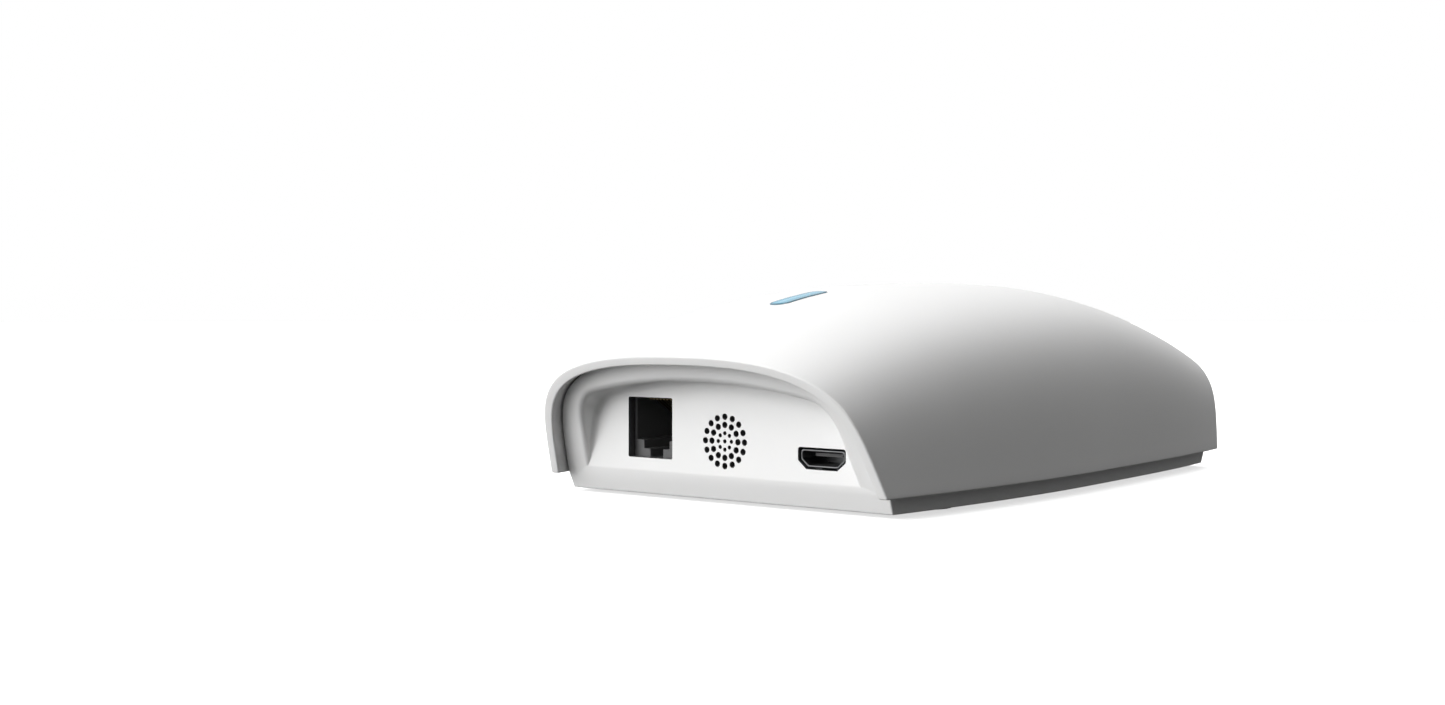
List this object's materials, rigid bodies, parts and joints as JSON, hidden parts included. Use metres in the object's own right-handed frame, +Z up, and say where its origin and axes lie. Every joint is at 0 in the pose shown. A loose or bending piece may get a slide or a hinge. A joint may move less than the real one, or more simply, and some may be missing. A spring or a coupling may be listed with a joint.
{
  "type": "smart home hub",
  "caption": "Smart home hub: a domed white cover on a base tray with a network port, speaker holes and a power socket in a recessed end, and a light bar on top.",
  "frame": {"origin": "centre of the hub's bounding box in plan, at the level its feet stand on", "axes": "+X to the right of the ports when facing them, +Y from the ports to the back along the hub, +Z up"},
  "size_m": [0.11, 0.186, 0.0501],
  "materials": {
    "white_plastic": "satin moulded ABS, white",
    "blue_lens": "clear sky-blue light guide, polished",
    "black_plastic": "charcoal moulded nylon",
    "socket_steel": "nickel-plated folded steel",
    "plated_steel": "tin or zinc-plated steel",
    "contact_gold": "gold-plated spring wire",
    "board_green": "green solder mask",
    "chip_black": "black moulding compound",
    "led_lens": "white LED package",
    "connector_plastic": "natural nylon",
    "cone_paper": "doped film cone",
    "gasket_foam": "closed-cell foam",
    "foot_rubber": "moulded rubber",
    "lead_insulation": "grey lead insulation"
  },
  "bodies": {
    "hub": {"base_tray": "white_plastic", "board_screw_1": "plated_steel", "board_screw_2": "plated_steel", "board_screw_3": "plated_steel", "board_screw_4": "plated_steel", "capacitor_1": "chip_black", "capacitor_2": "chip_black", "capacitor_3": "chip_black", "cover_screw_1": "plated_steel", "cover_screw_2": "plated_steel", "cover_screw_3": "plated_steel", "cover_screw_4": "plated_steel", "crystal": "plated_steel", "flash_chip": "chip_black", "foot_1": "foot_rubber", "foot_2": "foot_rubber", "foot_3": "foot_rubber", "foot_4": "foot_rubber", "jack_contact_1": "contact_gold", "jack_contact_2": "contact_gold", "jack_contact_3": "contact_gold", "jack_contact_4": "contact_gold", "jack_contact_5": "contact_gold", "jack_contact_6": "contact_gold", "jack_contact_7": "contact_gold", "jack_contact_8": "contact_gold", "light_bar": "blue_lens", "light_board": "board_green", "light_board_plug": "connector_plastic", "light_lead": "lead_insulation", "light_lead_socket": "connector_plastic", "light_led_1": "led_lens", "light_led_2": "led_lens", "light_led_3": "led_lens", "light_screw_1": "plated_steel", "light_screw_2": "plated_steel", "light_shroud": "white_plastic", "main_board": "board_green", "memory_chip": "chip_black", "mesh_antenna": "plated_steel", "network_jack_housing": "black_plastic", "network_jack_shield": "plated_steel", "network_transformer": "chip_black", "power_inductor": "black_plastic", "power_regulator": "chip_black", "power_socket_shell": "socket_steel", "power_socket_tongue": "black_plastic", "processor": "chip_black", "radio_module_board": "board_green", "radio_module_can": "plated_steel", "reset_switch_body": "plated_steel", "speaker_frame": "black_plastic", "speaker_gasket": "gasket_foam", "speaker_lead": "lead_insulation", "speaker_lead_socket": "connector_plastic", "speaker_magnet": "plated_steel", "top_cover": "white_plastic", "wifi_antenna": "plated_steel"},
    "speaker_cone": {"speaker_cone": "cone_paper"},
    "reset_button": {"reset_button": "black_plastic"}
  },
  "joints": [
    {"name": "reset_button_press", "type": "slide", "parent": "hub", "child": "reset_button", "axis": [0, 0, 1], "range_m": [0, 0.0003], "stiffness_N_per_m": 2000, "springref_m": -0.0002},
    {"name": "speaker_cone_stroke", "type": "slide", "parent": "hub", "child": "speaker_cone", "axis": [0, -1, 0], "range_m": [-0.0003, 0.0003], "stiffness_N_per_m": 1000}
  ]
}
